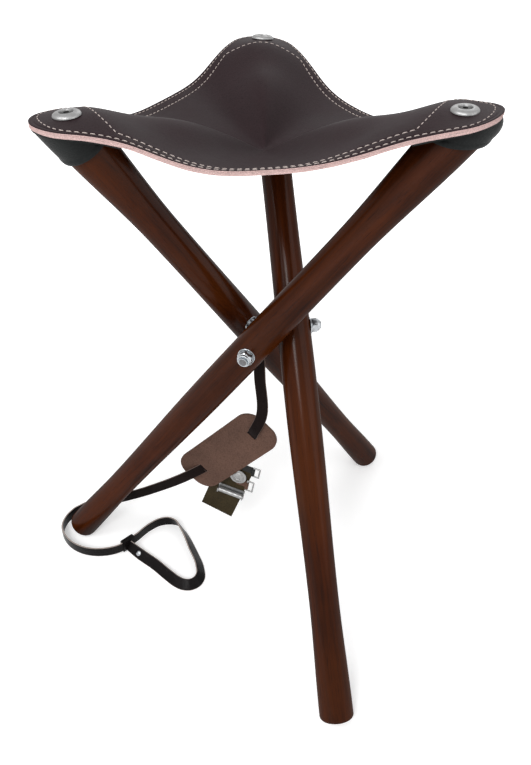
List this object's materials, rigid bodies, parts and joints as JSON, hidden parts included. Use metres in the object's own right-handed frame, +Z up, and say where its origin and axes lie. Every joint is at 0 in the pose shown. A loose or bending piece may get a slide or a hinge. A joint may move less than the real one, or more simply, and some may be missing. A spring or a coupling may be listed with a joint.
{
  "type": "walking stick seat",
  "caption": "Folding tripod seat: turned wooden legs cross at a central bolt under a sagging stitched leather seat, with a carrying strap, shoulder pad, buckle and tie strap.",
  "frame": {"origin": "point on the floor straight below the centre of the three-armed bolt, with the stool open", "axes": "+Z up, out of the floor; +X to the right and +Y away from a viewer who faces leg A's nut almost square on"},
  "size_m": [0.4046, 0.4018, 0.5387],
  "materials": {
    "stained_wood": "semi-gloss reddish-brown stain",
    "seat_leather": "soft sheen, dark purplish brown",
    "pocket_leather": "soft sheen, near black",
    "strap_leather": "satin, dark purplish brown",
    "pad_leather": "matt, mid brown",
    "chafe_leather": "matt, olive brown",
    "black_leather": "satin, black",
    "zinc_steel": "bright zinc plate",
    "dark_steel": "dull grey"
  },
  "bodies": {
    "hub": {"hub_bolt": "zinc_steel", "inner_washer_a": "zinc_steel", "outer_washer_a": "zinc_steel", "lock_nut_a": "zinc_steel", "inner_washer_b": "zinc_steel", "outer_washer_b": "zinc_steel", "lock_nut_b": "zinc_steel", "inner_washer_c": "zinc_steel", "outer_washer_c": "zinc_steel", "lock_nut_c": "zinc_steel", "seat_panel": "seat_leather", "edge_band_ac": "seat_leather", "edge_band_ba": "seat_leather", "edge_band_cb": "seat_leather", "shoulder_pad": "pad_leather", "shoulder_strap": "strap_leather", "shoulder_strap_lower": "strap_leather", "buckle_chafe": "chafe_leather", "buckle_base": "zinc_steel", "buckle_pin": "zinc_steel", "strap_stud": "zinc_steel", "ring_tab_upper": "black_leather", "ring_tab_lower": "black_leather"},
    "roller": {"buckle_roller": "zinc_steel"},
    "ring_upper": {"wire_ring_upper": "zinc_steel"},
    "ring_lower": {"wire_ring_lower": "zinc_steel"},
    "leg_a": {"leg_a": "stained_wood", "corner_pocket_a": "pocket_leather", "cup_washer_a": "dark_steel", "seat_screw_a": "dark_steel", "anchor_screw": "dark_steel", "tie_strap": "strap_leather", "tie_keeper": "strap_leather", "tie_rivet": "zinc_steel"},
    "leg_b": {"leg_b": "stained_wood", "corner_pocket_b": "pocket_leather", "cup_washer_b": "dark_steel", "seat_screw_b": "dark_steel"},
    "leg_c": {"leg_c": "stained_wood", "corner_pocket_c": "pocket_leather", "cup_washer_c": "dark_steel", "seat_screw_c": "dark_steel"}
  },
  "joints": [
    {"name": "leg_a_fold", "type": "hinge", "parent": "hub", "child": "leg_a", "pos_m": [-0.00857, -0.02875, 0.31279], "axis": [-0.2857, -0.9583, 0], "range_deg": [0, 35.4], "deforming": ["seat_panel", "edge_band_ac", "edge_band_ba", "edge_band_cb", "corner_pocket_a", "corner_pocket_b", "corner_pocket_c", "shoulder_strap_lower", "tie_strap", "tie_keeper", "tie_rivet"]},
    {"name": "leg_b_fold", "type": "hinge", "parent": "hub", "child": "leg_b", "pos_m": [0.02918, 0.00695, 0.31279], "axis": [0.9728, 0.2317, 0], "range_deg": [0, 35.4]},
    {"name": "leg_c_fold", "type": "hinge", "parent": "hub", "child": "leg_c", "pos_m": [-0.02061, 0.0218, 0.31279], "axis": [-0.6871, 0.7266, 0], "range_deg": [0, 35.4]},
    {"name": "roller_spin", "type": "hinge", "parent": "hub", "child": "roller", "pos_m": [-0.03372, -0.00007, 0.09959], "axis": [0.9438, -0.2813, -0.1736], "continuous": true},
    {"name": "ring_upper_swing", "type": "hinge", "parent": "hub", "child": "ring_upper", "pos_m": [-0.00837, -0.00544, 0.13667], "axis": [-0.1664, 0.0496, -0.9848], "range_deg": [-10, 45]},
    {"name": "ring_lower_swing", "type": "hinge", "parent": "hub", "child": "ring_lower", "pos_m": [-0.01531, -0.00337, 0.11459], "axis": [-0.1664, 0.0496, -0.9848], "range_deg": [-10, 45]}
  ],
  "couplings": [
    {"joint": "leg_b_fold", "follows": "leg_a_fold", "ratio": 1},
    {"joint": "leg_c_fold", "follows": "leg_a_fold", "ratio": 1}
  ]
}
